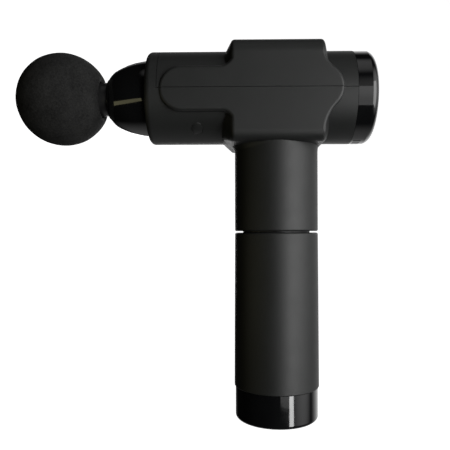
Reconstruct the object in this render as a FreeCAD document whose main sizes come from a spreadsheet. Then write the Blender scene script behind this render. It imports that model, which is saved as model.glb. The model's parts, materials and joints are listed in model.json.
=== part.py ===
"""Massage gun: a battery handle, a motor with a scotch yoke, and a foam ball head.

Frame: millimetres, origin at the centre of the base on the handle axis, +Z up,
the ball towards -X. The barrel axis lies along X at the height axis_height.
Angles and positions across the gun are along Y.
"""
import FreeCAD, Part
import math
import os
import re

import Sketcher

SIZES = {
    # housing
    "axis_height": 209.5,
    "barrel_radius": 30.0,
    "barrel_wall": 2.4,
    "barrel_front": -83.3,
    "ring_fillet": 3.5,
    "ring_bore": 24.0,
    "ring_depth": 7.3,
    "cover_front": -75.4,
    "rear_seam": 48.0,
    "seam_gap": 0.3,
    "side_half": 31.1,
    "block_front": -28.7,
    "block_rear": 27.9,
    "block_top": 31.6,
    "block_bottom": -32.3,
    "block_corner": 10.0,
    "corner_low": 6.6,
    "slope_front": 6.9,
    "slope_rear": 4.0,
    "slope_drop": 9.9,
    "slope_lift": 3.8,
    "slope_corner": 15.0,
    "saddle_round": 2.4,
    "pad_half": 13.9,
    "pad_middle": -0.4,
    "pad_front": -73.9,
    "flare_upper": 8.0,
    "flare_lower": 7.0,
    "lobe_tip": 39.8,
    "lobe_middle": 0.4,
    "lobe_upper": 23.0,
    "lobe_lower": 29.0,
    "lobe_round": 15.0,
    "pad_round": 2.0,
    "handle_radius": 27.2,
    "handle_bore": 24.3,
    "sleeve_bore": 22.3,
    "ledge_height": 164.0,
    "split_height": 121.3,
    "split_gap": 1.0,
    "column_x": -50.8,
    "column_y": 18.7,
    "column_radius": 4.6,
    "plug_radius": 3.45,
    "plug_gap": 0.25,
    # nose
    "nose_face": -110.2,
    "nose_mouth": 11.4,
    "nose_arc": 48.0,
    "nose_brow": 18.6,
    "nose_base": 24.8,
    # rear end
    "bezel_wall": 3.6,
    "bezel_straight": 57.0,
    "bezel_end": 61.2,
    "glass_radius": 25.2,
    "glass_seat": 58.2,
    "glass_dome": 62.9,
    "bezel_screw": 22.0,
    # drive
    "crank_radius": 6.0,
    "disc_radius": 15.0,
    "disc_start": 3.2,
    "disc_thick": 4.0,
    "pin_radius": 2.0,
    "roller_radius": 4.0,
    "slot_half": 5.6,
    "yoke_thick": 5.0,
    "yoke_wall": 3.8,
    "yoke_half": 15.0,
    "plunger_radius": 9.5,
    "plunger_front": -108.0,
    "plunger_rear": -30.0,
    "socket_radius": 6.45,
    "socket_depth": 22.0,
    "bush_radius": 12.0,
    "bush_front": -81.0,
    "bush_rear": -56.0,
    "tube_radius": 15.0,
    "frame_start": 8.0,
    "frame_thick": 3.0,
    "shaft_radius": 2.5,
    "can_radius": 23.0,
    "can_end": 27.4,
    "stator_radius": 19.3,
    # head
    "stem_radius": 6.4,
    "collar_radius": 11.0,
    "collar_front": -117.0,
    "collar_rear": -110.5,
    "ball_centre": -141.2,
    "ball_radius": 30.2,
    "ball_hole": 11.3,
    # battery pack
    "grip_radius": 27.2,
    "grip_foot": 27.6,
    "grip_bore": 22.0,
    "grip_round": 1.1,
    "cap_height": 21.0,
    "cap_radius": 26.9,
    "cap_wall": 5.5,
    "cap_round": 2.4,
    "cap_recess": 3.0,
    "case_radius": 21.9,
    "case_inner": 20.3,
    "case_top": 163.8,
    "cell_radius": 9.15,
    "cell_length": 65.0,
    "cell_ring": 10.7,
    "cell_start": 25.5,
    "strip_thick": 0.4,
    "base_screw_ring": 23.5,
    "rocker_x": -10.5,
    "socket_x": 11.5,
    "lamp_y": 13.0,
    "wire_radius": 0.8,
}

doc = FreeCAD.newDocument("massage_gun")
sheet = doc.addObject("Spreadsheet::Sheet", "Sizes")
for row, (alias, value) in enumerate(SIZES.items(), start=1):
    sheet.set("A%d" % row, alias)
    sheet.set("B%d" % row, str(value))
    sheet.setAlias("B%d" % row, alias)
probe = doc.addObject("App::FeaturePython", "Probe")
probe.addProperty("App::PropertyFloat", "Reading")
doc.recompute()

NODES = []


def full(text):
    """Spell out the spreadsheet aliases in a short expression."""
    return re.sub(r"[a-z][a-z_]+", lambda word: "Sizes." + word.group(0), str(text))


def number(text):
    """The value an expression has now, used for first guesses and plain shapes."""
    probe.setExpression("Reading", full(text))
    probe.recompute()
    return probe.Reading


def bind(item, field, text):
    item.setExpression(field, full(text))


def put(item, x="0", y="0", z="0"):
    """Bind the position of an object to expressions."""
    for letter, text in (("x", x), ("y", y), ("z", z)):
        if text != "0":
            bind(item, "Placement.Base." + letter, text)
    return item


def node(label, item):
    """Mark an object as a sub-part that is written to its own file."""
    item.Label = label
    NODES.append((label, item))
    return item


# ---------------------------------------------------------------- sketches and features

def arc_between(here, there, radius):
    """The short arc between two points, centre to the left where the radius is positive."""
    chord = there - here
    left = FreeCAD.Vector(-chord.y, chord.x, 0).normalize()
    if radius < 0:
        left = left * -1
    reach = abs(radius)
    offset = math.sqrt(max(0.0, reach * reach - chord.Length * chord.Length / 4))
    top = (here + there) * 0.5 + left * (offset - reach)
    if radius > 0:
        return Part.Arc(here, top, there)
    return Part.Arc(there, top, here)


def draw(body, plane, corners):
    """A closed outline. A corner is (across, up), or (across, up, radius) before an arc."""
    sketch = body.newObject("Sketcher::SketchObject", body.Name + "_outline")
    planes = [item for item in body.Origin.OriginFeatures if item.Role == plane + "_Plane"]
    sketch.AttachmentSupport = [(planes[0], "")]
    sketch.MapMode = "FlatFace"
    count = len(corners)
    spots = [FreeCAD.Vector(number(corner[0]), number(corner[1]), 0) for corner in corners]
    ends = []
    for index, corner in enumerate(corners):
        here = spots[index]
        there = spots[(index + 1) % count]
        if len(corner) == 3:
            radius = number(corner[2])
            sketch.addGeometry(arc_between(here, there, radius))
            ends.append((1, 2) if radius > 0 else (2, 1))
        else:
            sketch.addGeometry(Part.LineSegment(here, there))
            ends.append((1, 2))
    for index in range(count):
        after = (index + 1) % count
        sketch.addConstraint(
            Sketcher.Constraint("Coincident", index, ends[index][1], after, ends[after][0]))
    for index, corner in enumerate(corners):
        point = ends[index][0]
        for kind, text, value, line in (("DistanceX", corner[0], spots[index].x, -2),
                                        ("DistanceY", corner[1], spots[index].y, -1)):
            if abs(value) < 1e-9:
                sketch.addConstraint(Sketcher.Constraint("PointOnObject", index, point, line))
            else:
                key = sketch.addConstraint(Sketcher.Constraint(kind, index, point, value))
                sketch.setExpression("Constraints[%d]" % key, full(text))
        if len(corner) == 3:
            radius = number(corner[2])
            key = sketch.addConstraint(Sketcher.Constraint("Radius", index, abs(radius)))
            sign = "-1 * " if radius < 0 else ""
            sketch.setExpression("Constraints[%d]" % key, sign + "(" + full(corner[2]) + ")")
    return sketch


def turned(name, axis, outline, x="0", y="0", z="0"):
    """A solid of revolution about X, Y or Z. The outline is (along, radius) corners."""
    body = doc.addObject("PartDesign::Body", name)
    if axis == "X":
        sketch = draw(body, "XZ", outline)
    else:
        plane = "XY" if axis == "Y" else "XZ"
        swapped = [(corner[1], corner[0]) + turn_over(corner[2:]) for corner in outline]
        sketch = draw(body, plane, swapped)
    feature = body.newObject("PartDesign::Revolution", name + "_turn")
    feature.Profile = sketch
    feature.ReferenceAxis = (sketch, ["H_Axis" if axis == "X" else "V_Axis"])
    feature.Angle = 360
    return put(body, x, y, z)


def turn_over(tail):
    """Swapping the two coordinates of an outline turns its arcs over."""
    return tuple("-1 * (%s)" % text for text in tail)


def plate(name, plane, outline, thickness, x="0", y="0", z="0"):
    """An outline thickened equally to both sides of its plane."""
    body = doc.addObject("PartDesign::Body", name)
    sketch = draw(body, plane, outline)
    pad = body.newObject("PartDesign::Pad", name + "_pad")
    pad.Profile = sketch
    pad.SideType = "Symmetric"
    bind(pad, "Length", thickness)
    return put(body, x, y, z)


def dress(body, kind, radius, test):
    """Add a fillet or chamfer to the edges of a body that pass the test."""
    doc.recompute()
    base = body.Tip
    chosen = []
    for index, edge in enumerate(base.Shape.Edges, start=1):
        if test(edge):
            chosen.append("Edge%d" % index)
    feature = body.newObject("PartDesign::" + kind, body.Name + "_" + kind.lower())
    feature.Base = (base, chosen)
    bind(feature, "Radius" if kind == "Fillet" else "Size", radius)
    body.Tip = feature
    return body


def tube(name, axis, outer, inner, start, end, **place):
    """A plain ring between two positions along an axis."""
    corners = [(start, inner), (end, inner), (end, outer), (start, outer)]
    return turned(name, axis, corners, **place)


# ---------------------------------------------------------------- primitives and booleans

def rod(name, axis, radius, start, end, x="0", y="0", z="0"):
    """A cylinder along an axis. The position along that axis is start to end."""
    item = doc.addObject("Part::Cylinder", name)
    bind(item, "Radius", radius)
    bind(item, "Height", "(%s) - (%s)" % (end, start))
    shift = {"X": "(%s) + (%s)" % (x, start), "Y": "(%s) + (%s)" % (y, start),
             "Z": "(%s) + (%s)" % (z, start)}
    if axis == "X":
        item.Placement.Rotation = FreeCAD.Rotation(FreeCAD.Vector(0, 1, 0), 90)
        return put(item, shift["X"], y, z)
    if axis == "Y":
        item.Placement.Rotation = FreeCAD.Rotation(FreeCAD.Vector(1, 0, 0), -90)
        return put(item, x, shift["Y"], z)
    return put(item, x, y, shift["Z"])


def block(name, length, width, height, x="0", y="0", z="0"):
    """A box centred on a position."""
    item = doc.addObject("Part::Box", name)
    bind(item, "Length", length)
    bind(item, "Width", width)
    bind(item, "Height", height)
    return put(item, "(%s) - (%s) / 2" % (x, length), "(%s) - (%s) / 2" % (y, width),
               "(%s) - (%s) / 2" % (z, height))


def fuse(name, *items):
    result = doc.addObject("Part::MultiFuse", name)
    result.Shapes = list(items)
    result.Refine = True
    return result


def common(name, *items):
    result = doc.addObject("Part::MultiCommon", name)
    result.Shapes = list(items)
    return result


def cut(name, base, *tools):
    """Take one or more tools away from a base."""
    result = doc.addObject("Part::Cut", name)
    result.Base = base
    result.Tool = tools[0] if len(tools) == 1 else fuse(name + "_tools", *tools)
    result.Refine = True
    return result


def group(label, *items):
    """Several separate solids that share one sub-part, such as a set of screws."""
    result = doc.addObject("Part::Compound", label)
    result.Links = list(items)
    return node(label, result)


def screw(name, axis, head, sign, length, radius="1.45", head_radius="2.6", tall="2.0",
          **place):
    """A pan-head screw: head is where the head's underside sits, sign its direction."""
    way = "%+d * " % sign
    top = "(%s) - (%s(%s))" % (head, way, tall)
    floor = "(%s) - (%s(%s) / 2)" % (head, way, tall)
    tip = "(%s) + (%s(%s))" % (head, way, length)
    socket = "0.45 * " + head_radius
    corners = [(top, socket), (floor, socket), (floor, "0"), (tip, "0"), (tip, radius),
               (head, radius), (head, head_radius), (top, head_radius)]
    return turned(name, axis, corners, **place)


def lead(name, points):
    """A round wire along a smooth curve through some points."""
    spots = [FreeCAD.Vector(*[number(part) for part in point]) for point in points]
    curve = Part.BSplineCurve()
    curve.interpolate(spots)
    path = Part.Wire([curve.toShape()])
    ring = Part.Circle(spots[0], curve.tangent(curve.FirstParameter)[0], number("wire_radius"))
    item = doc.addObject("Part::Feature", name)
    item.Shape = path.makePipeShell([Part.Wire([ring.toShape()])], True, False)
    return item


def ring_spots(count, radius, first=0.0):
    """Positions spread evenly on a circle, as pairs of expressions."""
    spots = []
    for index in range(count):
        angle = math.radians(first + 360.0 * index / count)
        spots.append(("%.6f * (%s)" % (math.cos(angle), radius),
                      "%.6f * (%s)" % (math.sin(angle), radius)))
    return spots


# ---------------------------------------------------------------- housing

def saddle_outline(inset, lift=None, corner="block_corner", low_corner="corner_low"):
    """The section of the saddle, drawn in by an inset and by a lift at the bottom."""
    wide = "side_half - (%s)" % inset
    top = "block_top - (%s)" % inset
    low = "block_bottom + (%s)" % (lift or inset)
    side = "%s - (%s)" % (wide, corner)
    side_low = "%s - (%s)" % (wide, low_corner)
    upper = "%s - (%s)" % (top, corner)
    lower = "%s + (%s)" % (low, low_corner)
    return [("-1 * (%s)" % side_low, low), (side_low, low, low_corner), (wide, lower),
            (wide, upper, corner), (side, top), ("-1 * (%s)" % side, top, corner),
            ("-1 * (%s)" % wide, upper), ("-1 * (%s)" % wide, lower, low_corner)]


def saddle():
    """The saddle: a straight length, softly rounded where its sloped ends start."""
    body = doc.addObject("PartDesign::Body", "saddle")
    sections = []
    for edge, reach, way in (("block_front", "slope_front", -1), ("block_rear", "slope_rear", 1)):
        slope = math.atan2(number("slope_drop"), number(reach))
        steps = [("slope_drop", "%s + %d * %s" % (edge, way, reach))]
        for turn in (slope, slope * 2 / 3, slope / 3, 0.0):
            along = way * (math.sin(turn) - math.tan(slope / 2))
            steps.append(("%.4f * saddle_round" % (1 - math.cos(turn)),
                          "%s + %.4f * saddle_round" % (edge, along)))
        if way > 0:
            steps.reverse()
        sections += [saddle_section(body, inset, position) for inset, position in steps]
    loft = body.newObject("PartDesign::AdditiveLoft", "saddle_loft")
    loft.Profile = sections[0]
    loft.Sections = sections[1:]
    loft.Ruled = True
    return put(body, "0", "0", "axis_height")


def saddle_section(body, inset, position):
    """One section of the saddle; its lower corners widen as it is drawn in."""
    share = "(%s) / slope_drop" % inset
    outline = saddle_outline(inset, "slope_lift * %s" % share, "block_corner",
                             "corner_low + (slope_corner - corner_low) * %s" % share)
    sketch = draw(body, "YZ", outline)
    bind(sketch, "AttachmentOffset.Base.z", position)
    return sketch


def arm_pad():
    """The flat-sided strip along the front of the barrel, round at its front end."""
    top = "pad_middle + pad_half"
    low = "pad_middle - pad_half"
    outline = [("block_front + 8", "%s - flare_lower" % low),
               ("block_front + 8", "%s + flare_upper" % top),
               ("block_front", "%s + flare_upper" % top, "-flare_upper"),
               ("block_front - flare_upper", top),
               ("pad_front + pad_half", top, "pad_half"),
               ("pad_front", "pad_middle", "pad_half"),
               ("pad_front + pad_half", low),
               ("block_front - flare_lower", low, "-flare_lower"),
               ("block_front", "%s - flare_lower" % low)]
    body = plate("arm_pad", "XZ", outline, "2 * side_half", z="axis_height")
    return dress(body, "Fillet", "pad_round", on_side_face(-80, number("block_front") - 0.01))


def rear_lobe():
    """The bell-shaped end of the flat side, no wider than the saddle's section."""
    reach = "(lobe_tip - block_rear)"
    corners = []
    for side, root in (("-1 * ", "lobe_lower"), ("", "lobe_upper")):
        both = "((%s ^ 2 + %s ^ 2) / (2 * %s))" % (reach, root, reach)
        corners.append({
            "root": "lobe_middle + (%s%s)" % (side, root),
            "hollow": "-1 * (%s - lobe_round)" % both,
            "x": "lobe_tip - lobe_round * %s / %s" % (reach, both),
            "z": "lobe_middle + (%slobe_round * %s / %s)" % (side, root, both)})
    low, high = corners
    outline = [("block_rear - 8", low["root"]), ("block_rear", low["root"], low["hollow"]),
               (low["x"], low["z"], "lobe_round"), ("lobe_tip", "lobe_middle", "lobe_round"),
               (high["x"], high["z"], high["hollow"]), ("block_rear", high["root"]),
               ("block_rear - 8", high["root"])]
    body = plate("rear_lobe_form", "XZ", outline, "2 * side_half", z="axis_height")
    dress(body, "Fillet", "pad_round", on_side_face(number("block_rear") + 0.01, 80))
    limit = plate("lobe_limit", "YZ", saddle_outline("0"), "200", z="axis_height")
    return common("rear_lobe", body, limit)


def on_side_face(low, high):
    """Picks the edges that lie in a flat side face between two positions along X."""
    def test(edge):
        box = edge.BoundBox
        flat = box.YLength < 1e-6 and abs(abs(box.YMin) - number("side_half")) < 1e-6
        middle = (box.XMin + box.XMax) / 2
        return flat and low < middle < high and box.XLength + box.ZLength > 0.1
    return test


def handle_flare():
    """The curved widening where the handle runs into the barrel, longer front to back."""
    rings = []
    for drop, reach in (("36.8", "0"), ("35.2", "0.2"), ("33.6", "0.8"), ("32.2", "1.8"),
                        ("31.2", "3.1"), ("30.6", "4.4"), ("30.0", "6.6"), ("29.0", "9.6")):
        ellipse = doc.addObject("Part::Ellipse", "flare_ring")
        bind(ellipse, "MajorRadius", "handle_radius + 0.65 * " + reach)
        bind(ellipse, "MinorRadius", "handle_radius - 0.15")
        rings.append(put(ellipse, "-0.35 * " + reach, "0", "axis_height - " + drop))
    loft = doc.addObject("Part::Loft", "handle_flare")
    loft.Sections = rings
    loft.Solid = True
    loft.Ruled = False
    return loft


def outer_form():
    """The outside of the housing before it is hollowed."""
    barrel = turned("barrel_form", "X", [
        ("barrel_front", "0"), ("barrel_front", "barrel_radius - ring_fillet", "-ring_fillet"),
        ("barrel_front + ring_fillet", "barrel_radius"), ("rear_seam", "barrel_radius"),
        ("rear_seam", "0")], z="axis_height")
    handle = turned("handle_form", "Z", [
        ("split_height + split_gap / 2", "0"),
        ("split_height + split_gap / 2", "handle_radius - grip_round", "-grip_round"),
        ("split_height + split_gap / 2 + grip_round", "handle_radius"),
        ("axis_height - 12", "handle_radius"), ("axis_height - 12", "0")])
    return barrel, fuse("housing_form", barrel, saddle(), arm_pad(), rear_lobe(), handle,
                        handle_flare())


def inner_form():
    """The hollow inside the housing."""
    inside = "barrel_radius - barrel_wall"
    shoulder = "barrel_front + ring_depth"
    bore = turned("barrel_bore", "X", [
        ("barrel_front - 1", "0"), ("barrel_front - 1", "ring_bore"), (shoulder, "ring_bore"),
        (shoulder, inside), ("rear_seam + 1", inside), ("rear_seam + 1", "0")],
        z="axis_height")
    inset = saddle_outline("barrel_wall + 0.5", None, "block_corner - barrel_wall",
                           "corner_low - barrel_wall")
    room = plate("saddle_room", "YZ", inset, "block_rear - block_front - 4",
                 x="(block_front + block_rear) / 2", z="axis_height")
    well = turned("handle_bore_form", "Z", [
        ("split_height - 1", "0"), ("split_height - 1", "sleeve_bore"),
        ("ledge_height", "sleeve_bore"), ("ledge_height", "handle_bore"),
        ("axis_height - 15", "handle_bore"), ("axis_height - 15", "0")])
    return fuse("housing_room", bore, room, well)


def housing():
    """Lower housing and top cover, cut from one hollow form, with their screws and plugs."""
    barrel, form = outer_form()
    columns = []
    holes = []
    screws = []
    plugs = []
    for side in (-1, 1):
        place = {"x": "column_x", "y": "%d * column_y" % side, "z": "axis_height"}
        columns.append(rod("column", "Z", "column_radius", "-29", "29", **place))
        holes.append(rod("plug_hole", "Z", "plug_radius + plug_gap", "-32", "-16", **place))
        holes.append(rod("screw_way", "Z", "1.6", "-17", "0", **place))
        holes.append(rod("screw_pilot", "Z", "1.5", "-1", "11", **place))
        screws.append(screw("housing_screw", "Z", "-16", 1, "25", **place))
        plugs.append(common("plug", rod("plug_rod", "Z", "plug_radius", "-32", "-19", **place),
                            barrel))
    bosses = []
    for y, z in ring_spots(4, "bezel_screw", 45):
        place = {"y": y, "z": "axis_height + (%s)" % z}
        bosses.append(rod("bezel_boss", "X", "6.2", "34", "rear_seam - 6.5", **place))
        holes.append(rod("bezel_pilot", "X", "1.25", "36", "rear_seam - 5.5", **place))
    for x in ("-19", "19"):
        place = {"x": x, "z": "axis_height - 24.5"}
        bosses.append(rod("frame_boss", "Y", "3.6", "12.5", "30", **place))
        holes.append(rod("frame_pilot", "Y", "1.5", "12", "24", **place))
    room = cut("ribbed_room", inner_form(), *(columns + bosses))
    solid = cut("housing_solid", cut("housing_shell", form, room), *holes)
    upper = block("upper_half", "140", "80", "60", x="cover_front + 70 + seam_gap",
                  z="axis_height + 30 + seam_gap / 2")
    keep_off = block("upper_room", "140", "80", "60", x="cover_front + 70",
                     z="axis_height + 30 - seam_gap / 2")
    node("top_cover", common("top_cover", solid, upper))
    node("lower_housing", cut("lower_housing", solid, keep_off))
    group("housing_screws", *screws)
    group("screw_plugs", *plugs)


def nose():
    """The domed nose that plugs into the front ring, and the dust ring in its mouth."""
    face = "barrel_front - 0.15"
    plug = "barrel_front + ring_depth - 0.6"
    cone = turned("nose_cone", "X", [
        ("nose_face", "nose_mouth"), ("nose_face", "nose_mouth + 0.9", "-0.9"),
        ("nose_face + 0.7", "nose_mouth + 1.8", "-nose_brow"),
        ("nose_face + 5.2", "nose_mouth + 6.7", "-nose_arc"), (face, "nose_base"),
        (face, "ring_bore - 0.1"), (plug, "ring_bore - 0.1"), (plug, "ring_bore - 2.1"),
        ("barrel_front - 2", "ring_bore - 2.1", "nose_arc - 2.7"),
        ("nose_face + 6", "nose_mouth + 4.5"), ("nose_face + 2.6", "nose_mouth + 0.9"),
        ("nose_face + 2.6", "nose_mouth")], z="axis_height")
    node("nose_cone", cone)
    node("nose_dust_ring", tube("nose_dust_ring", "X", "nose_mouth + 0.7",
                                "plunger_radius + 0.35", "nose_face + 2.6", "nose_face + 4.4",
                                z="axis_height"))


def rear_end():
    """Bezel ring with vents, touch glass, display board and its parts."""
    inner = "barrel_radius - bezel_wall"
    edge = "rear_seam + 0.2"
    ring = turned("bezel_form", "X", [
        (edge, "barrel_radius"), ("bezel_straight", "barrel_radius", "-6"),
        ("bezel_end", "glass_radius + 1.3"), ("bezel_end", "glass_radius + 0.2"),
        ("glass_seat - 0.1", "glass_radius + 0.2"), ("glass_seat - 0.1", "glass_radius - 2.4"),
        ("glass_seat - 1.6", "glass_radius - 2.4"), ("glass_seat - 1.6", inner),
        ("rear_seam - 0.3", inner), ("rear_seam - 0.3", "4"), ("rear_seam - 2.5", "4"),
        ("rear_seam - 2.5", "24.6"), ("rear_seam - 5.5", "24.6"), ("rear_seam - 5.5", "27.3"),
        (edge, "27.3")], z="axis_height")
    holes = []
    for y, z in ring_spots(4, "bezel_screw", 45):
        holes.append(rod("bezel_hole", "X", "1.4", "rear_seam - 4", "rear_seam + 1", y=y,
                         z="axis_height + (%s)" % z))
    for y in ("-6.4", "-3.2", "0", "3.2", "6.4"):
        holes.append(block("vent", "5", "1.5", "10", x="rear_seam + 3.9", y=y,
                           z="axis_height - 29"))
    posts = []
    pilots = []
    board = "rear_seam + 4.5"
    far = "rear_seam + 6.1"
    for y, z in ring_spots(3, "17", 90):
        place = {"y": y, "z": "axis_height + (%s)" % z}
        posts.append(rod("display_post", "X", "2.8", "rear_seam - 1", board, **place))
        pilots.append(rod("display_pilot", "X", "1.0", "%s - 4" % board, "%s + 1" % board, **place))
    body = fuse("bezel_posts", cut("bezel_cut", ring, *holes), *posts)
    node("rear_bezel", cut("rear_bezel", body, *pilots))
    screws = [screw("bezel_screw", "X", "rear_seam - 0.3", -1, "9", "1.2", "2.4",
                    y=y, z="axis_height + (%s)" % z)
              for y, z in ring_spots(4, "bezel_screw", 45)]
    group("bezel_screws", *screws)
    node("display_glass", turned("display_glass", "X", [
        ("glass_seat", "0"), ("glass_seat", "glass_radius"),
        ("bezel_end - 0.3", "glass_radius", "-152"), ("glass_dome", "0")], z="axis_height"))
    disc = rod("display_board_form", "X", "21.5", board, far, z="axis_height")
    openings = [rod("display_hole", "X", "1.2", "%s - 1" % board, "%s + 1" % far, y=y,
                    z="axis_height + (%s)" % z) for y, z in ring_spots(3, "17", 90)]
    node("display_board", cut("display_board", disc, *openings))
    group("display_screws", *[
        screw("display_screw", "X", far, -1, "4", "0.95", "1.9", y=y,
              z="axis_height + (%s)" % z) for y, z in ring_spots(3, "17", 90)])
    node("display_module", block("display_module", "3.4", "22", "12", x="%s + 1.8" % far,
                                 z="axis_height - 2"))
    pads = [rod("touch_spring", "X", "3.2", far, "glass_seat - 0.2", y=y, z="axis_height - 12.5")
            for y in ("-8", "8")]
    group("touch_springs", *pads)


# ---------------------------------------------------------------- drive

def drive_frame():
    """Cast frame: the guide tube for the plunger and the plate that holds the motor."""
    middle = "frame_start + frame_thick / 2"
    guide = rod("guide_tube", "X", "tube_radius", "bush_front", "bush_rear", z="axis_height")
    flange = rod("guide_flange", "X", "23.3", "-76", "-73", z="axis_height")
    outline = [("-62", "-14"), ("-28", "-18"), ("-24", "-28"), ("24", "-28"), ("26", "-12"),
               ("26", "18"), ("20", "24"), ("-20", "24"), ("-28", "18"), ("-62", "14")]
    web = plate("motor_plate", "XZ", outline, "frame_thick", y=middle, z="axis_height")
    ribs = [block("frame_rib", "24", "10", "3", x="-50", y="frame_start - 2",
                  z="axis_height + (%s)" % z) for z in ("-14.2", "14.2")]
    holes = [rod("guide_bore", "X", "bush_radius", "-90", "-47", z="axis_height"),
             block("plunger_window", "27", "8", "21", x="-35.8", y=middle, z="axis_height"),
             rod("shaft_way", "Y", "7.2", "0", "20", z="axis_height")]
    for x in ("-19", "19"):
        holes.append(rod("frame_hole", "Y", "2.2", "0", "20", x=x, z="axis_height - 24.5"))
    for x, z in ring_spots(4, "9.8", 45):
        place = {"x": x, "z": "axis_height + (%s)" % z}
        holes.append(rod("motor_hole", "Y", "1.1", "0", "20", **place))
        holes.append(rod("motor_head_seat", "Y", "2.1", "0", "frame_start + 1.6", **place))
    body = fuse("frame_form", guide, flange, web, *ribs)
    node("drive_frame", cut("drive_frame", body, *holes))
    node("guide_bush", tube("guide_bush", "X", "bush_radius - 0.02", "plunger_radius + 0.05",
                            "bush_front", "bush_rear", z="axis_height"))
    node("front_damper", tube("front_damper", "X", "27.5", "tube_radius", "-73", "-67",
                              z="axis_height"))
    washers = []
    screws = []
    for x in ("-19", "19"):
        place = {"x": x, "z": "axis_height - 24.5"}
        washers.append(tube("washer", "Y", "4", "1.6", "11", "12.5", **place))
        screws.append(screw("frame_screw", "Y", "frame_start - 0.05", 1, "14", "1.45", "3.2",
                            **place))
    group("frame_dampers", *washers)
    group("frame_screws", *screws)


def motor():
    """Outer-rotor motor across the gun: fixed stator inside, can and magnets turning."""
    base = turned("motor_base", "Y", [
        ("11", "5.55"), ("25.4", "5.55"), ("25.4", "7"), ("13", "7"), ("13", "12"),
        ("11", "12")], z="axis_height")
    pilots = [rod("base_pilot", "Y", "1.0", "10", "14", x=x, z="axis_height + (%s)" % z)
              for x, z in ring_spots(4, "9.8", 45)]
    node("motor_base", cut("motor_base", base, *pilots))
    group("motor_screws", *[
        screw("motor_screw", "Y", "frame_start + 1.6", 1, "3.2", "0.95", "1.9", "1.4", x=x,
              z="axis_height + (%s)" % z) for x, z in ring_spots(4, "9.8", 45)])
    bearings = []
    for start, end in (("11.3", "15.3"), ("21", "25")):
        bearings.append(tube("bearing", "Y", "5.5", "shaft_radius + 0.03", start, end,
                             z="axis_height"))
    group("motor_bearings", *bearings)
    stator_and_coils()
    node("rotor_can", turned("rotor_can", "Y", [
        ("13.9", "can_radius - 1.4"), ("13.9", "can_radius"), ("can_end", "can_radius"),
        ("can_end", "shaft_radius"), ("can_end - 1.5", "shaft_radius"),
        ("can_end - 1.5", "can_radius - 1.4")], z="axis_height"))
    magnets = []
    hoop = tube("magnet_hoop", "Y", "can_radius - 1.45", "stator_radius + 0.5", "15", "23.5",
                z="axis_height")
    gaps = []
    for index in range(14):
        turn = FreeCAD.Rotation(FreeCAD.Vector(0, 1, 0), 360.0 * index / 14)
        gaps.append(radial("magnet_gap", 15, 26, 0.8, 10, 28, turn))
    node("rotor_magnets", cut("rotor_magnets", hoop, *gaps))
    node("motor_shaft", rod("motor_shaft", "Y", "shaft_radius", "disc_start", "can_end",
                            z="axis_height"))


def stator_and_coils():
    """Twelve laminated teeth on a hub, with a copper coil around each."""
    hub = tube("stator_hub", "Y", "10.5", "7.02", "16", "22.5", z="axis_height")
    rim = tube("stator_rim", "Y", "stator_radius", "stator_radius - 1.3", "16", "22.5",
               z="axis_height")
    teeth = []
    slots = []
    coils = []
    for index in range(12):
        turn = FreeCAD.Rotation(FreeCAD.Vector(0, 1, 0), 30.0 * index)
        teeth.append(radial("tooth", 9.5, 18.6, 2.4, 16, 22.5, turn))
        apart = FreeCAD.Rotation(FreeCAD.Vector(0, 1, 0), 30.0 * index + 15)
        slots.append(radial("slot", 15, 22, 1.2, 14, 24, apart))
        outer = radial("coil_form", 11, 17.4, 4.6, 14.6, 23.9, turn)
        core = radial("coil_core", 8, 20, 2.5, 15.9, 22.6, turn)
        coils.append(cut("coil", outer, core))
    body = fuse("stator_form", hub, rim, *teeth)
    node("motor_stator", cut("motor_stator", body, *slots))
    wedge = [tube("coil_limit", "Y", "17.4", "11.6", "14", "24.5", z="axis_height")]
    gaps = []
    for index in range(12):
        apart = FreeCAD.Rotation(FreeCAD.Vector(0, 1, 0), 30.0 * index + 15)
        gaps.append(radial("coil_gap", 5, 22, 0.7, 12, 26, apart))
    windings = common("windings_form", fuse("coil_set", *coils), *wedge)
    node("motor_windings", cut("motor_windings", windings, *gaps))


def radial(name, start, end, width, near, far, turn):
    """A box pointing out from the motor axis, from start to end, between near and far in Y."""
    item = doc.addObject("Part::Box", name)
    item.Length = end - start
    item.Width = far - near
    item.Height = width
    corner = turn.multVec(FreeCAD.Vector(start, 0, -width / 2.0))
    base = FreeCAD.Vector(corner.x, near, corner.z)
    item.Placement = FreeCAD.Placement(base, turn)
    bind(item, "Placement.Base.z", "axis_height + %.6f" % corner.z)
    return item


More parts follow.
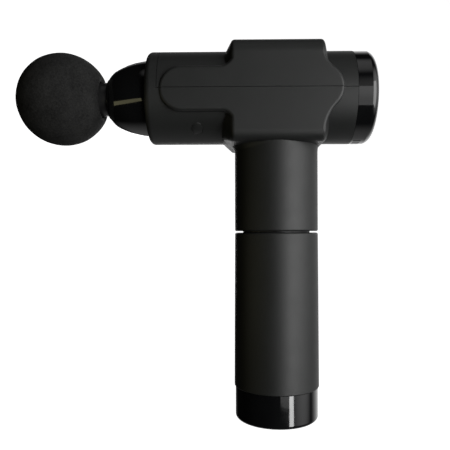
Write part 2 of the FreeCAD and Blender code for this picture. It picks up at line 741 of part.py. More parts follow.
def crank_and_yoke():
    """Crank disc with its pin and roller, the slotted yoke, and the plunger it drives."""
    far = "disc_start + disc_thick"
    disc = rod("disc_form", "Y", "disc_radius", "disc_start", far, z="axis_height")
    relief = plate("disc_relief", "XZ", [("3", "8"), ("13", "8"), ("13", "16"), ("3", "16")],
                   "20", y="disc_start", z="axis_height")
    relief_low = plate("disc_relief_low", "XZ",
                       [("3", "-16"), ("13", "-16"), ("13", "-8"), ("3", "-8")],
                       "20", y="disc_start", z="axis_height")
    bores = [rod("shaft_bore", "Y", "shaft_radius", "0", "12", z="axis_height"),
             rod("pin_bore", "Y", "pin_radius", "0", "12", x="crank_radius", z="axis_height")]
    node("crank_disc", cut("crank_disc", disc, relief, relief_low, *bores))
    node("crank_pin", rod("crank_pin", "Y", "pin_radius", "-4.2", far, x="crank_radius",
                          z="axis_height"))
    node("pin_roller", tube("pin_roller", "Y", "roller_radius", "pin_radius + 0.02", "-2.6",
                            "2.6", x="crank_radius", z="axis_height"))
    node("pin_clip", tube("pin_clip", "Y", "3.4", "pin_radius", "-3.6", "-2.9",
                          x="crank_radius", z="axis_height"))
    outer = "slot_half + yoke_wall"
    slot = "crank_radius + roller_radius + 0.5"
    frame = [("-1 * (%s)" % outer, "-yoke_half"), (outer, "-yoke_half"), (outer, "yoke_half"),
             ("-1 * (%s)" % outer, "yoke_half")]
    form = plate("yoke_form", "XZ", frame, "yoke_thick", x="crank_radius", z="axis_height")
    tongue = block("yoke_tongue", "44", "yoke_thick", "10", x="crank_radius - 29",
                   z="axis_height")
    window = plate("yoke_slot", "XZ", [
        ("-slot_half", "-1 * (%s)" % slot), ("slot_half", "-1 * (%s)" % slot),
        ("slot_half", slot), ("-slot_half", slot)], "yoke_thick + 2", x="crank_radius",
        z="axis_height")
    ways = [rod("yoke_way", "Y", "1.5", "-5", "5", x=x, z="axis_height")
            for x in ("-42", "-35")]
    node("yoke", cut("yoke", fuse("yoke_body", form, tongue), window, *ways))
    plunger = turned("plunger_form", "X", [
        ("plunger_front", "socket_radius"), ("plunger_front", "plunger_radius"),
        ("plunger_rear", "plunger_radius"), ("plunger_rear", "0"),
        ("plunger_front + socket_depth", "0"),
        ("plunger_front + socket_depth", "socket_radius")], z="axis_height")
    saw = block("plunger_slot", "20", "yoke_thick + 0.1", "10.1", x="plunger_rear - 6",
                z="axis_height")
    pins = [rod("plunger_way", "Y", "1.5", "-12", "12", x=x, z="axis_height")
            for x in ("-42", "-35")]
    node("plunger", cut("plunger", plunger, saw, *pins))
    group("yoke_pins", *[rod("yoke_pin", "Y", "1.48", "-9", "9", x=x, z="axis_height")
                         for x in ("-42", "-35")])


def head():
    """Push-in head: a stem with a collar and O-rings, and the foam ball moulded on it."""
    node("head_stem", turned("head_stem", "X", [
        ("-139", "0"), ("-139", "9"), ("-136", "9"), ("-136", "6"), ("collar_front", "6"),
        ("collar_front", "collar_radius - 0.8", "-0.8"),
        ("collar_front + 0.8", "collar_radius"), ("collar_rear - 0.8", "collar_radius", "-0.8"),
        ("collar_rear", "collar_radius - 0.8"), ("collar_rear", "stem_radius"),
        ("-104", "stem_radius"), ("-104", "5.2"), ("-102", "5.2"), ("-102", "stem_radius"),
        ("-97", "stem_radius"), ("-97", "5.2"), ("-95", "5.2"), ("-95", "stem_radius"),
        ("-89", "stem_radius"), ("-88", "stem_radius - 1"), ("-88", "0")], z="axis_height"))
    group("stem_rings", *[tube("stem_ring", "X", "stem_radius + 0.02", "5.2", start, end,
                               z="axis_height")
                          for start, end in (("-103.9", "-102.1"), ("-96.9", "-95.1"))])
    ball = doc.addObject("Part::Sphere", "ball_form")
    bind(ball, "Radius", "ball_radius")
    put(ball, "ball_centre", "0", "axis_height")
    room = turned("ball_room", "X", [
        ("-139", "0"), ("-139", "9"), ("-136", "9"), ("-136", "6"), ("collar_front - 0.2", "6"),
        ("collar_front - 0.2", "ball_hole"), ("-105", "ball_hole"), ("-105", "0")],
        z="axis_height")
    node("foam_ball", cut("foam_ball", ball, room))


# ---------------------------------------------------------------- handle electronics

def handle_parts():
    """Contact carrier and driver board in the upper handle."""
    spots = ring_spots(3, "9", 90)
    carrier = rod("carrier_form", "Z", "handle_bore - 0.1", "ledge_height", "ledge_height + 3")
    standoffs = [rod("standoff", "Z", "2.6", "ledge_height + 2", "ledge_height + 9", x=x, y=y)
                 for x, y in ring_spots(3, "18.5", -30)]
    ways = [rod("contact_way", "Z", "1.25", "ledge_height - 1", "ledge_height + 4", x=x, y=y)
            for x, y in spots]
    pilots = [rod("board_pilot", "Z", "1.0", "ledge_height + 4", "ledge_height + 10", x=x, y=y)
              for x, y in ring_spots(3, "18.5", -30)]
    body = fuse("carrier_body", carrier, *standoffs)
    node("contact_carrier", cut("contact_carrier", body, *(ways + pilots)))
    group("spring_contacts", *[rod("spring_contact", "Z", "1.2", "case_top - 1.38",
                                   "ledge_height + 5", x=x, y=y) for x, y in spots])
    board = rod("driver_form", "Z", "22", "ledge_height + 9", "ledge_height + 10.6")
    holes = [rod("board_hole", "Z", "1.2", "ledge_height + 8", "ledge_height + 12", x=x, y=y)
             for x, y in ring_spots(3, "18.5", -30)]
    node("driver_board", cut("driver_board", board, *holes))
    group("board_screws", *[
        screw("board_screw", "Z", "ledge_height + 10.6", -1, "5", "0.95", "1.9", x=x, y=y)
        for x, y in ring_spots(3, "18.5", -30)])
    floor = "ledge_height + 10.6"
    chips = []
    for x in ("-9", "-3", "3"):
        for y in ("-12", "-6"):
            chips.append(block("switch_chip", "5", "4", "1.4", x=x, y=y,
                               z="(%s) + 0.7" % floor))
    chips.append(block("control_chip", "7", "7", "1.2", x="6", y="3", z="(%s) + 0.6" % floor))
    chips.append(rod("capacitor", "Z", "3.2", floor, "(%s) + 4.5" % floor, x="-9", y="5"))
    chips.append(block("wire_socket", "8", "5", "4", x="4", y="-17.5", z="(%s) + 2" % floor))
    group("board_parts", *chips)


def wires():
    """Leads inside the housing and the pack, along their real routes."""
    board = "ledge_height + 10.7"
    inner = [lead("motor_lead", [
        (x, "14.5", board), (x, "14.5", "ledge_height + 12"), (x, "13.0", "axis_height - 28"),
        (x, "12.4", "axis_height - 20"), (x, "12.4", "axis_height - 12.9")])
        for x in ("-3", "0", "3")]
    inner.append(lead("display_wire", [
        ("8.1", "-17.5", "ledge_height + 12.6"), ("9.5", "-17.5", "ledge_height + 12.6"),
        ("14", "-16", "ledge_height + 15"), ("23", "-14", "axis_height - 18"),
        ("35", "-8", "axis_height - 5"), ("rear_seam - 6.5", "-1", "axis_height"),
        ("rear_seam + 0.5", "0", "axis_height"), ("rear_seam + 4.4", "0", "axis_height")]))
    inner += [lead("battery_lead", [(x, y, "ledge_height + 5.1"), (x, y, "ledge_height + 8.9")])
              for x, y in ring_spots(3, "9", 90)]
    group("inner_leads", *inner)
    pack = [lead("charge_lead", [
        ("socket_x", y, "16"), ("socket_x", y, "16.9"), ("socket_x + 0.8", y, "18"),
        ("socket_x + 1", y, "19.3"), ("socket_x + 1", y, "20.3")]) for y in ("-2", "2")]
    pack.append(lead("switch_lead", [
        ("rocker_x - 3", "0", "16"), ("rocker_x - 3", "0", "16.9"),
        ("rocker_x - 3.8", "0", "18"), ("rocker_x - 4", "0", "19.3"),
        ("rocker_x - 4", "0", "20.3")]))
    group("pack_leads", *pack)


# ---------------------------------------------------------------- battery pack

def pack_shell():
    """Grip sleeve, cell case with its neck, neck ring and the glossy base cap."""
    seam = "split_height - split_gap / 2"
    sleeve = turned("grip_form", "Z", [
        ("cap_height", "grip_bore"), ("cap_height", "grip_foot - 0.5", "-0.5"),
        ("cap_height + 0.5", "grip_foot"),
        ("(%s) - grip_round" % seam, "grip_radius", "-grip_round"),
        (seam, "grip_radius - grip_round"), (seam, "grip_bore")])
    pilots = [rod("grip_pilot", "Z", "1.0", "cap_height - 1", "cap_height + 10", x=x, y=y)
              for x, y in ring_spots(3, "base_screw_ring", 90)]
    node("battery_grip", cut("battery_grip", sleeve, *pilots))
    node("battery_case", turned("battery_case", "Z", [
        ("cap_height + 0.5", "case_inner"), ("cap_height + 0.5", "case_radius"),
        ("150", "case_radius"), ("150", "case_radius - 1.0"), ("152", "case_radius - 1.0"),
        ("152", "case_radius"), ("case_top - 1", "case_radius", "-1"),
        ("case_top", "case_radius - 1"), ("case_top", "case_inner - 2"),
        ("case_top - 1.5", "case_inner - 2"), ("case_top - 1.5", "case_inner")]))
    node("neck_ring", tube("neck_ring", "Z", "sleeve_bore - 0.05", "case_radius - 1.0",
                           "150.1", "151.9"))
    cap_inner = "cap_radius - cap_wall"
    cap = turned("cap_form", "Z", [
        ("0", "0"), ("0", "cap_radius - cap_round", "-cap_round"), ("cap_round", "cap_radius"),
        ("cap_height - 0.2", "cap_radius"), ("cap_height - 0.2", cap_inner),
        ("cap_recess + 2.5", cap_inner), ("cap_recess + 2.5", "0")])
    holes = [rod("cap_screw_seat", "Z", "1.9", "-1", "4", x=x, y=y)
             for x, y in ring_spots(3, "base_screw_ring", 90)]
    holes += [rod("cap_screw_way", "Z", "1.1", "3", "30", x=x, y=y)
              for x, y in ring_spots(3, "base_screw_ring", 90)]
    holes += [block("rocker_opening", "14.2", "10.2", "20", x="rocker_x", z="5"),
              block("rocker_recess", "17", "13", "2 * cap_recess", x="rocker_x"),
              rod("socket_opening", "Z", "4.6", "0", "10", x="socket_x"),
              rod("socket_recess", "Z", "6.2", "-1", "cap_recess", x="socket_x"),
              rod("lamp_opening", "Z", "1.6", "-1", "10", y="lamp_y"),
              rod("lamp_recess", "Z", "2.4", "-1", "cap_recess - 1.5", y="lamp_y")]
    node("base_cap", cut("base_cap", cap, *holes))
    group("base_screws", *[
        screw("base_screw", "Z", "4", 1, "22", "0.95", "1.7", x=x, y=y)
        for x, y in ring_spots(3, "base_screw_ring", 90)])


def pack_inside():
    """Six cells in two layers, their holders and strips, boards and contacts."""
    step = "cell_length + strip_thick"
    spots = ring_spots(3, "cell_ring", 90)
    cells = []
    clears = []
    for layer in range(2):
        start = "cell_start + %d * (%s)" % (layer, step)
        for x, y in spots:
            cells.append(rod("cell", "Z", "cell_radius", start, "(%s) + cell_length" % start,
                             x=x, y=y))
            clears.append(rod("cell_clear", "Z", "cell_radius + 0.1", start,
                              "(%s) + cell_length" % start, x=x, y=y))
    group("battery_cells", *cells)
    top = "cell_start + cell_length + %s" % step
    strips = []
    for height in ("cell_start - strip_thick", "cell_start + cell_length", top):
        strips.append(rod("strip", "Z", "15", height, "(%s) + strip_thick" % height))
    group("nickel_strips", *strips)
    holders = []
    room = fuse("cell_room", *(clears + [
        rod("strip_clear", "Z", "15.1", "(%s) - 0.05" % h, "(%s) + strip_thick + 0.05" % h)
        for h in ("cell_start - strip_thick", "cell_start + cell_length", top)]))
    for low, high in (("cell_start - 1.8", "cell_start + 3"),
                      ("cell_start + cell_length - 3", "cell_start + cell_length + 3.4"),
                      ("(%s) - 3" % top, "(%s) + 1.4" % top)):
        disc = rod("holder_form", "Z", "case_inner - 0.1", low, high)
        holders.append(cut("holder", disc, room))
    group("cell_holders", *holders)
    node("protection_board", rod("protection_board", "Z", "case_inner - 0.3",
                                 "cap_height + 0.6", "cap_height + 2.2"))
    disc = rod("contact_disc", "Z", "case_inner - 2.1", "case_top - 4.5", "case_top - 1.5")
    rooms = [rod("pad_room", "Z", "2.6", "case_top - 2.4", "case_top + 1", x=x, y=y)
             for x, y in ring_spots(3, "9", 90)]
    node("contact_block", cut("contact_block", disc, *rooms))
    group("contact_pads", *[rod("contact_pad", "Z", "2.5", "case_top - 2.4",
                                "case_top - 1.4", x=x, y=y) for x, y in ring_spots(3, "9", 90)])


def base_fittings():
    """Rocker switch, charging socket and lamp lens in the recess of the base."""
    frame = block("switch_rim", "16", "12", "0.8", x="rocker_x", z="cap_recess - 0.4")
    housing_box = block("switch_box", "14", "10", "12.6", x="rocker_x", z="cap_recess + 6.3")
    room = block("switch_room", "12.6", "8.4", "7", x="rocker_x", z="cap_recess + 2.5")
    body = fuse("switch_form", frame, housing_box)
    node("switch_body", cut("switch_body", body, room))
    tilt = plate("rocker_form", "XZ", [
        ("-5.6", "-1.1"), ("-0.4", "-1.9"), ("5.0", "-3.4"), ("5.4", "0.4"), ("1.5", "1.6"),
        ("-1.5", "1.6"), ("-5.6", "0.9")], "7.6", x="rocker_x", z="cap_recess + 1.4")
    pivot = rod("rocker_pivot", "Y", "0.7", "-4.1", "4.1", x="rocker_x", z="cap_recess + 1.4")
    node("power_rocker", fuse("power_rocker", tilt, pivot))
    jack = turned("jack_form", "Z", [
        ("cap_recess - 0.8", "2.9"), ("cap_recess - 0.8", "5.6"), ("cap_recess", "5.6"),
        ("cap_recess", "4.5"), ("15.5", "4.5"), ("15.5", "0"), ("14", "0"), ("14", "2.9")],
        x="socket_x")
    pin = rod("jack_pin", "Z", "1.0", "cap_recess + 3", "14.5", x="socket_x")
    node("charge_socket", fuse("charge_socket", jack, pin))
    node("lamp_lens", turned("lamp_lens", "Z", [
        ("cap_recess - 1.5", "0"), ("cap_recess - 1.5", "1.5"), ("cap_recess + 3", "1.5"),
        ("cap_recess + 3", "0")], y="lamp_y"))


def write_parts():
    """Check every object, then write one file per sub-part."""
    doc.recompute()
    for item in doc.Objects:
        if "Invalid" in item.State or "Error" in item.State:
            raise RuntimeError("object %s is %s" % (item.Label, item.State))
    for label, item in NODES:
        if item.Shape.isNull() or not item.Shape.isValid() or not item.Shape.Solids:
            raise RuntimeError("sub-part %s has no valid solid" % label)
    os.makedirs("parts", exist_ok=True)
    for label, item in NODES:
        item.Shape.exportStep("parts/%s.step" % label)


housing()
nose()
rear_end()
drive_frame()
motor()
crank_and_yoke()
head()
handle_parts()
wires()
pack_shell()
pack_inside()
base_fittings()
write_parts()
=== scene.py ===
import bpy
import bmesh
import json
import math
from mathutils import Matrix, Vector, noise


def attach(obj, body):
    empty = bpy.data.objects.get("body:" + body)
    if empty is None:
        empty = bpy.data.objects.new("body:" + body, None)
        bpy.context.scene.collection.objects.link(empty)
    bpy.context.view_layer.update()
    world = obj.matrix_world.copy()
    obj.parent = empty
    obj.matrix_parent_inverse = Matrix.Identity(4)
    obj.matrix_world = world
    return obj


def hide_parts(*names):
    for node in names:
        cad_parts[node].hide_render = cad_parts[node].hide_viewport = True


# The massage gun's looks: a material for every CAD node, a foam skin for the ball, and the studio.
# The barrel lies along X with the head at -X, the handle is upright, and the camera is at -Y.

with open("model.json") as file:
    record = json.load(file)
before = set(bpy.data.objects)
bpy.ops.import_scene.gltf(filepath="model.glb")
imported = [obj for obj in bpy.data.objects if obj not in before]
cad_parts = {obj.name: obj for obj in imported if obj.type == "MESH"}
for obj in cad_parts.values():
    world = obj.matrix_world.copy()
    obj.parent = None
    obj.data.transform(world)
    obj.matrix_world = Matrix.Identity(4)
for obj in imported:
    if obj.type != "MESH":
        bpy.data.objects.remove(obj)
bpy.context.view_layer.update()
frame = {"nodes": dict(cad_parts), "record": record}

MM = 0.001


# ---------------------------------------------------------------- node helpers

# the colour sockets of a Mix node, whose names it shares with its number and vector sockets
MIX_COLOUR_A = 6
MIX_COLOUR_B = 7
MIX_COLOUR_RESULT = 2


class Look:
    """A material under construction: one Principled shader and short calls to wire it."""

    def __init__(self, name, base, rough, **sockets):
        self.mat = bpy.data.materials.new(name)
        self.mat.use_nodes = True
        self.tree = self.mat.node_tree
        self.tree.nodes.clear()
        output = self.add("ShaderNodeOutputMaterial")
        self.bsdf = self.add("ShaderNodeBsdfPrincipled")
        self.link(self.bsdf.outputs["BSDF"], output.inputs["Surface"])
        self.bsdf.inputs["Base Color"].default_value = (*base, 1)
        self.bsdf.inputs["Roughness"].default_value = rough
        for key, value in sockets.items():
            self.bsdf.inputs[key.replace("_", " ")].default_value = value
        self.place = self.add("ShaderNodeTexCoord").outputs["Object"]
        self.relief = None

    def add(self, kind, **fields):
        node = self.tree.nodes.new(kind)
        for key, value in fields.items():
            setattr(node, key, value)
        return node

    def link(self, start, end):
        self.tree.links.new(start, end)

    def stretched(self, scale):
        """Object coordinates stretched by a factor along each axis."""
        node = self.add("ShaderNodeMapping")
        node.inputs["Scale"].default_value = scale
        self.link(self.place, node.inputs["Vector"])
        return node.outputs["Vector"]

    def noise(self, size, detail=4.0, rough=0.55, where=None, low=0.3, high=0.7):
        """Noise whose grains are about size across, spread to the full 0 to 1 range."""
        node = self.add("ShaderNodeTexNoise")
        node.inputs["Scale"].default_value = 1.0 / size
        node.inputs["Detail"].default_value = detail
        node.inputs["Roughness"].default_value = rough
        self.link(where or self.place, node.inputs["Vector"])
        return self.spread(node.outputs["Fac"], low, high, 0.0, 1.0)

    def cells(self, size):
        """The distance to the middle of the nearest of many small cells."""
        node = self.add("ShaderNodeTexVoronoi")
        node.inputs["Scale"].default_value = 1.0 / size
        self.link(self.place, node.inputs["Vector"])
        return node.outputs["Distance"]

    def bands(self, scale, distortion):
        """Fine waves stacked across the gun."""
        node = self.add("ShaderNodeTexWave", bands_direction="Y")
        node.inputs["Scale"].default_value = scale
        node.inputs["Distortion"].default_value = distortion
        self.link(self.place, node.inputs["Vector"])
        return node.outputs["Fac"]

    def spread(self, value, low, high, to_low, to_high):
        """A value moved from one range to another, and kept inside it."""
        node = self.add("ShaderNodeMapRange")
        node.inputs["From Min"].default_value = low
        node.inputs["From Max"].default_value = high
        node.inputs["To Min"].default_value = to_low
        node.inputs["To Max"].default_value = to_high
        self.link(value, node.inputs["Value"])
        return node.outputs["Result"]

    def mixed(self, first, second, share):
        """Two values added, the second with the given share and the first with the rest."""
        return self.maths("ADD", self.maths("MULTIPLY", first, 1 - share),
                          self.maths("MULTIPLY", second, share))

    def maths(self, kind, first, second):
        node = self.add("ShaderNodeMath", operation=kind)
        for socket, value in zip(node.inputs, (first, second)):
            if isinstance(value, (int, float)):
                socket.default_value = value
            else:
                self.link(value, socket)
        return node.outputs["Value"]

    def colour(self, fac, dark, light):
        """Paints the surface between two colours."""
        node = self.add("ShaderNodeMix", data_type="RGBA")
        self.link(fac, node.inputs["Factor"])
        node.inputs[MIX_COLOUR_A].default_value = (*dark, 1)
        node.inputs[MIX_COLOUR_B].default_value = (*light, 1)
        self.link(node.outputs[MIX_COLOUR_RESULT], self.bsdf.inputs["Base Color"])

    def roughness(self, value, low, high, start=0.0):
        """Roughness from low to high, where value goes from start to 1."""
        self.link(self.spread(value, start, 1.0, low, high), self.bsdf.inputs["Roughness"])

    def bump(self, value, depth):
        """Adds a relief of that depth in metres on top of the relief that is there."""
        node = self.add("ShaderNodeBump")
        node.inputs["Strength"].default_value = 1.0
        node.inputs["Distance"].default_value = depth
        self.link(value, node.inputs["Height"])
        if self.relief is not None:
            self.link(self.relief, node.inputs["Normal"])
        self.relief = node.outputs["Normal"]
        self.link(self.relief, self.bsdf.inputs["Normal"])


# Colours are linear, sizes and depths are in metres.

def plastic(name, dark, light, rough, grain, depth, smear=0.06, **sockets):
    """Moulded plastic: fine grain, soft handling marks and a slow colour drift."""
    look = Look(name, dark, rough, **sockets)
    look.colour(look.noise(0.035, 3.0), dark, light)
    marks = look.noise(0.012, 6.0, 0.65)
    fine = look.noise(0.0009, 2.0)
    look.roughness(look.mixed(marks, fine, 0.25), rough - smear, rough + smear)
    look.bump(look.noise(grain, 2.0), depth)
    return look.mat


def rubber(name, dark, light):
    return plastic(name, dark, light, 0.7, 0.0005, 0.00002, 0.1, Specular_IOR_Level=0.3)


def metal(name, dark, light, rough, brush=(1, 1, 1)):
    """Bare metal: fine streaks, drawn out along the brushing, and slow stains."""
    look = Look(name, dark, rough, Metallic=1.0)
    streaks = look.noise(0.0016, 4.0, 0.6, look.stretched(brush))
    look.colour(look.noise(0.011, 4.0), dark, light)
    look.roughness(streaks, rough * 0.7, rough * 1.3)
    look.bump(streaks, 0.00001)
    return look.mat


def gloss_black():
    """Polished black plastic: hardly marked, with a faint waviness."""
    look = Look("gloss_black", (0.004, 0.004, 0.0045), 0.07, Coat_Weight=0.6,
                Coat_Roughness=0.03)
    look.colour(look.noise(0.03, 3.0), (0.0035, 0.0036, 0.004), (0.006, 0.0062, 0.0066))
    look.roughness(look.noise(0.010, 6.0, 0.7), 0.05, 0.12, start=0.2)
    look.bump(look.noise(0.006, 2.0), 0.000010)
    return look.mat


def touch_glass():
    """Smoked glass with finger marks."""
    look = Look("touch_glass", (0.010, 0.006, 0.009), 0.06, Coat_Weight=1.0,
                Coat_Roughness=0.02)
    look.colour(look.noise(0.02, 3.0), (0.007, 0.0045, 0.0065), (0.014, 0.0075, 0.011))
    look.roughness(look.noise(0.008, 6.0, 0.7), 0.04, 0.14, start=0.3)
    look.bump(look.noise(0.005, 2.0), 0.000004)
    return look.mat


def foam_black():
    """Skinned foam: small closed cells, a rough skin and a slightly uneven tone."""
    look = Look("foam_black", (0.02, 0.02, 0.02), 0.85, Specular_IOR_Level=0.08)
    patches = look.noise(0.012, 4.0)
    speckle = look.noise(0.0011, 3.0, 0.7, low=0.35, high=0.65)
    look.colour(look.mixed(patches, speckle, 0.55), (0.0070, 0.0071, 0.0072),
                (0.0300, 0.0300, 0.0292))
    look.roughness(speckle, 0.75, 0.97)
    look.bump(look.noise(0.0035, 3.0), 0.00016)
    look.bump(look.cells(0.0009), 0.00011)
    look.bump(speckle, 0.00006)
    return look.mat


def laminations():
    """Thin steel sheets stacked across the gun."""
    look = Look("laminations", (0.12, 0.12, 0.13), 0.5, Metallic=0.9)
    sheets = look.bands(320.0, 0.4)
    look.colour(sheets, (0.06, 0.06, 0.065), (0.2, 0.2, 0.21))
    look.roughness(look.noise(0.002), 0.35, 0.6)
    look.bump(sheets, 0.00005)
    return look.mat


def copper():
    """Enamelled wire laid side by side."""
    look = Look("copper", (0.5, 0.2, 0.08), 0.3, Metallic=1.0)
    turns = look.bands(420.0, 1.5)
    look.colour(turns, (0.25, 0.08, 0.03), (0.62, 0.27, 0.12))
    look.roughness(look.noise(0.003), 0.2, 0.4)
    look.bump(turns, 0.0001)
    return look.mat


def materials():
    """One material for each slot of the record."""
    plastics = {
        # the soft-touch coat: a matte skin with a very fine grain and faint rub marks
        "soft_black": ((0.0085, 0.0092, 0.0088), (0.0115, 0.0124, 0.0120), 0.52, 0.00028,
                       0.000006, 0.04),
        "head_plastic": ((0.012, 0.012, 0.0122), (0.019, 0.019, 0.019), 0.33, 0.0006, 0.00001),
        "inner_plastic": ((0.02, 0.02, 0.021), (0.03, 0.03, 0.031), 0.45, 0.0006, 0.00001),
        "bush_plastic": ((0.55, 0.53, 0.46), (0.66, 0.64, 0.56), 0.4, 0.0008, 0.00001),
        "chip_black": ((0.02, 0.02, 0.02), (0.035, 0.035, 0.035), 0.55, 0.0004, 0.00001),
        "board_green": ((0.006, 0.06, 0.025), (0.012, 0.10, 0.04), 0.35, 0.0012, 0.00003),
        "cell_sleeve": ((0.02, 0.10, 0.30), (0.03, 0.14, 0.38), 0.3, 0.002, 0.00002),
        "lamp": ((0.5, 0.53, 0.55), (0.6, 0.63, 0.65), 0.15, 0.001, 0.000005, 0.04),
    }
    metals = {
        "screw_steel": ((0.09, 0.09, 0.095), (0.16, 0.16, 0.165), 0.35),
        "steel": ((0.42, 0.42, 0.43), (0.56, 0.56, 0.57), 0.28, (1, 8, 1)),
        "cast_alloy": ((0.52, 0.53, 0.54), (0.66, 0.67, 0.68), 0.38),
        "bearing_steel": ((0.6, 0.6, 0.61), (0.7, 0.7, 0.71), 0.14),
        "magnet": ((0.5, 0.5, 0.52), (0.62, 0.62, 0.63), 0.22),
        "contact_gold": ((0.62, 0.43, 0.16), (0.75, 0.55, 0.24), 0.25),
        "nickel": ((0.55, 0.53, 0.49), (0.66, 0.64, 0.6), 0.3),
    }
    rubbers = {
        "black_rubber": ((0.012, 0.012, 0.012), (0.02, 0.02, 0.02)),
        "wire_red": ((0.32, 0.02, 0.015), (0.42, 0.035, 0.025)),
    }
    looks = {"gloss_black": gloss_black(), "foam_black": foam_black(),
             "touch_glass": touch_glass(), "laminations": laminations(), "copper": copper()}
    for make, rows in ((plastic, plastics), (metal, metals), (rubber, rubbers)):
        for name, values in rows.items():
            looks[name] = make(name, *values)
    return looks


# ---------------------------------------------------------------- the CAD nodes

# the small nodes whose sharp edges get a rounding, and its size in mm
ROUNDED = {"screw_plugs": 0.2, "switch_body": 0.2, "power_rocker": 0.35, "charge_socket": 0.2}


def round_edges(item, width):
    """Joins the faces' loose edges and rounds every edge sharper than 28 degrees."""
    weld = item.modifiers.new("weld", "WELD")
    weld.merge_threshold = 0.000002
    edge = item.modifiers.new("edge", "BEVEL")
    edge.limit_method = "ANGLE"
    edge.angle_limit = math.radians(28)
    edge.width = width
    edge.segments = 2
    edge.use_clamp_overlap = True
    edge.harden_normals = True


def dress_nodes(looks):
    """Gives each CAD node its slot's material."""
    slots = {row["node"]: row["material_slot"] for row in frame["record"]["subparts"]}
    for name, item in frame["nodes"].items():
        item.data.materials.clear()
        item.data.materials.append(looks[slots[name]])
        if name in ROUNDED:
            round_edges(item, ROUNDED[name] * MM)


# ---------------------------------------------------------------- turned meshes

def turned(name, rings):
    """A new object whose skin joins each ring of points to the next.

    A ring is one point at a pole and the same number of points everywhere else.
    """
    mesh = bmesh.new()
    rings = [[mesh.verts.new(point) for point in ring] for ring in rings]
    around = max(len(ring) for ring in rings)
    for near, far in zip(rings, rings[1:]):
        for step in range(around):
            after = (step + 1) % around
            corners = [near[step % len(near)], near[after % len(near)],
                       far[after % len(far)], far[step % len(far)]]
            mesh.faces.new(list(dict.fromkeys(corners)))
    bmesh.ops.recalc_face_normals(mesh, faces=mesh.faces)
    for face in mesh.faces:
        face.smooth = True
    data = bpy.data.meshes.new(name)
    mesh.to_mesh(data)
    mesh.free()
    item = bpy.data.objects.new(name, data)
    bpy.context.collection.objects.link(item)
    return item


def circle(around):
    """The (cosine, sine) pairs of a full turn."""
    angles = [2 * math.pi * step / around for step in range(around)]
    return [(math.cos(angle), math.sin(angle)) for angle in angles]


# ---------------------------------------------------------------- the foam ball

AXIS_Z = 209.5      # the barrel's axis, in mm like the rest of the ball's sizes
BALL_X = -141.2     # the ball's centre
BALL_R = 30.2
HOLE_R = 11.25      # the hole round the stem
LIP_R = 2.6         # the round lip at the hole's mouth
HOLE_FLOOR = -117.1
FLOOR_EDGE = 0.6    # the slant where the hole's wall meets its floor
STEM_R = 6.1
# (waves per metre, height) of the skin's unevenness
LUMPS = ((160.0, 0.10), (700.0, 0.05))


def ball_profile(ball_steps=110, lip_steps=12):
    """(along, radius) points in mm from the far pole round to the bottom of the hole."""
    lip_r = HOLE_R + LIP_R
    lip_along = math.sqrt((BALL_R - LIP_R) ** 2 - lip_r ** 2)
    last = math.atan2(lip_r, lip_along)
    points = [(BALL_X - BALL_R, 0.0)]
    for step in range(1, ball_steps + 1):
        angle = math.pi - (math.pi - last) * step / ball_steps
        points.append((BALL_X + BALL_R * math.cos(angle), BALL_R * math.sin(angle)))
    for step in range(1, lip_steps + 1):
        angle = last - (last + math.pi / 2) * step / lip_steps
        points.append((BALL_X + lip_along + LIP_R * math.cos(angle),
                       lip_r + LIP_R * math.sin(angle)))
    points.append((HOLE_FLOOR + FLOOR_EDGE, HOLE_R))
    points.append((HOLE_FLOOR, HOLE_R - FLOOR_EDGE))
    points.append((HOLE_FLOOR, STEM_R))
    return points


def foam_ball(material):
    """The ball as a turned form with a soft lip round the hole and a slightly uneven skin."""
    rings = []
    for along, radius in ball_profile():
        turn = circle(180) if radius else [(0.0, 0.0)]
        rings.append([Vector((along, radius * across, AXIS_Z + radius * up)) * MM
                      for across, up in turn])
    ball = turned("ball_skin", rings)
    normals = [vert.normal.copy() for vert in ball.data.vertices]
    for vert, normal in zip(ball.data.vertices, normals):
        lump = sum(noise.noise(vert.co * waves) * height for waves, height in LUMPS)
        vert.co += normal * lump * MM
    ball.data.materials.append(material)
    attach(ball, "head")
    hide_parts("foam_ball")


# ---------------------------------------------------------------- stage, light and camera

# all in metres and degrees; the floor lies low enough for the battery to be drawn out
FLOOR_Z = -0.45
FLOOR_R = 2.2
COVE_R = 0.8        # the round rise from the floor to the wall
WALL = [(3.0, 2.6), (1.6, 3.6), (0.0, 3.8)]     # (radius, height above the floor)
PANEL_DISTANCE = 0.88
PANEL_TARGET = (0, 0, 0.13)
# the room's own faint light, and (azimuth, elevation, half width, strength) of its soft patches
ROOM = 0.004
PATCHES = (
    (30, 12, 22, 0.30),
    (68, 10, 30, 1.0),
    (172, 28, 26, 0.45),
    (170, -52, 34, 0.28),
    (14, 72, 18, 0.40),
    (150, 5, 34, 0.8),
)
# (name, azimuth, height above the gun's base, (width, height of the panel), watts)
PANELS = (
    ("window_edge", 36, 0.04, (0.18, 1.00), 4.3),
    ("window", 60, 0.22, (0.50, 0.70), 2.6),
    ("front", 22, 0.09, (0.50, 0.70), 0.8),
    ("behind", 184, 0.30, (0.60, 0.70), 3.2),
)
BAR_SPOT = (-0.60, -0.36, 0.045)
BAR_TARGET = (-0.09, 0, AXIS_Z * MM)
CAMERA_SPOT = (-0.0277, -0.3572, 0.1215)
CAMERA_TURN = (0.70, 0.98, 0.10)    # pitch up, yaw to the left and roll, in degrees
CAMERA_LENS = 43.144                # mm, on a sensor 36 mm wide


def stage_profile(cove_steps=12):
    """(radius, height above the floor) of the floor, the cove, the wall and the domed top."""
    points = [(0.0, 0.0), (1.2, 0.0), (FLOOR_R, 0.0)]
    for step in range(1, cove_steps + 1):
        angle = math.pi / 2 * step / cove_steps
        points.append((FLOOR_R + COVE_R * math.sin(angle), COVE_R - COVE_R * math.cos(angle)))
    return points + WALL


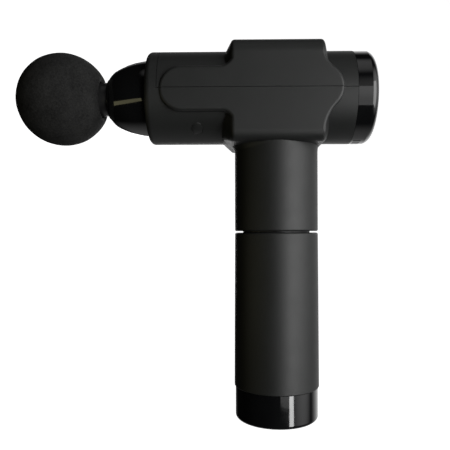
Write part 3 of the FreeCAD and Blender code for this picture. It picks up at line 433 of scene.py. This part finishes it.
def stage():
    """A pale floor and a pale round wall. Both are seen but neither lights the object."""
    rings = []
    for radius, height in stage_profile():
        turn = circle(48) if radius else [(0.0, 0.0)]
        rings.append([Vector((radius * across, radius * along, FLOOR_Z + height))
                      for across, along in turn])
    floor = turned("studio_floor", rings)
    floor.data.flip_normals()
    look = Look("studio_white", (0.8, 0.8, 0.8), 0.95, Emission_Strength=0.93)
    look.bsdf.inputs["Emission Color"].default_value = (1, 1, 1, 1)
    look.colour(look.noise(0.05, 3.0), (0.78, 0.78, 0.78), (0.82, 0.82, 0.82))
    floor.data.materials.append(look.mat)
    for ray in ("diffuse", "glossy", "transmission", "volume_scatter", "shadow"):
        setattr(floor, "visible_" + ray, False)


def area_light(name, spot, target, size, power):
    data = bpy.data.lights.new(name, "AREA")
    data.shape = "RECTANGLE"
    data.size, data.size_y = size
    data.energy = power
    item = bpy.data.objects.new(name, data)
    item.location = spot
    item.rotation_euler = (Vector(target) - Vector(spot)).to_track_quat("-Z", "Y").to_euler()
    bpy.context.collection.objects.link(item)
    return item


def toward(azimuth, elevation):
    """A direction: azimuth from the camera's side round to +X, both in degrees."""
    turn, lift = math.radians(azimuth), math.radians(elevation)
    return Vector((math.sin(turn) * math.cos(lift), -math.cos(turn) * math.cos(lift),
                   math.sin(lift)))


def patch_light(tree, azimuth, elevation, width, strength):
    """A soft round patch of light in that direction."""
    across = tree.nodes.new("ShaderNodeVectorMath")
    across.operation = "DOT_PRODUCT"
    across.inputs[1].default_value = toward(azimuth, elevation)
    place = tree.nodes.new("ShaderNodeTexCoord").outputs["Generated"]
    tree.links.new(place, across.inputs[0])
    ramp = tree.nodes.new("ShaderNodeMapRange")
    ramp.interpolation_type = "SMOOTHSTEP"
    ramp.inputs["From Min"].default_value = math.cos(math.radians(width * 1.5))
    ramp.inputs["From Max"].default_value = math.cos(math.radians(width * 0.4))
    ramp.inputs["To Max"].default_value = strength
    tree.links.new(across.outputs["Value"], ramp.inputs["Value"])
    return ramp.outputs["Result"]


def world_light():
    """A dim studio room: a few soft patches of light on a near-black ground."""
    world = bpy.data.worlds.new("studio")
    world.use_nodes = True
    tree = world.node_tree
    total = tree.nodes.new("ShaderNodeValue").outputs["Value"]
    total.default_value = ROOM
    for patch in PATCHES:
        add = tree.nodes.new("ShaderNodeMath")
        tree.links.new(total, add.inputs[0])
        tree.links.new(patch_light(tree, *patch), add.inputs[1])
        total = add.outputs["Value"]
    ground = tree.nodes["Background"]
    ground.inputs["Color"].default_value = (1, 1, 1, 1)
    tree.links.new(total, ground.inputs["Strength"])
    bpy.context.scene.world = world


def lights():
    """Soft panels round the gun, and a long warm one that draws the streak on the nose."""
    world_light()
    for name, azimuth, height, size, power in PANELS:
        spot = toward(azimuth, 0) * PANEL_DISTANCE
        panel = area_light(name, (spot.x, spot.y, height), PANEL_TARGET, size, power)
        panel.visible_camera = False
    bar = area_light("warm_bar", BAR_SPOT, BAR_TARGET, (0.85, 0.110), 0.26)
    bar.data.color = (1.0, 0.93, 0.55)


def camera():
    """The photograph's viewpoint."""
    pitch, yaw, roll = (math.radians(angle) for angle in CAMERA_TURN)
    turn = (Matrix.Rotation(yaw, 3, "Z") @ Matrix.Rotation(pitch, 3, "X")
            @ Matrix.Rotation(roll, 3, "Y"))
    right, forward, up = (turn.col[axis] for axis in range(3))
    matrix = Matrix((right, up, -forward)).transposed().to_4x4()
    matrix.translation = CAMERA_SPOT
    data = bpy.data.cameras.new("camera")
    data.sensor_width = 36.0
    data.lens = CAMERA_LENS
    data.clip_start = 0.01
    item = bpy.data.objects.new("camera", data)
    item.matrix_world = matrix
    bpy.context.collection.objects.link(item)
    bpy.context.scene.camera = item


# ---------------------------------------------------------------- the scene

looks = materials()
dress_nodes(looks)
foam_ball(looks["foam_black"])
stage()
lights()
camera()
bpy.context.scene.view_settings.view_transform = "Standard"
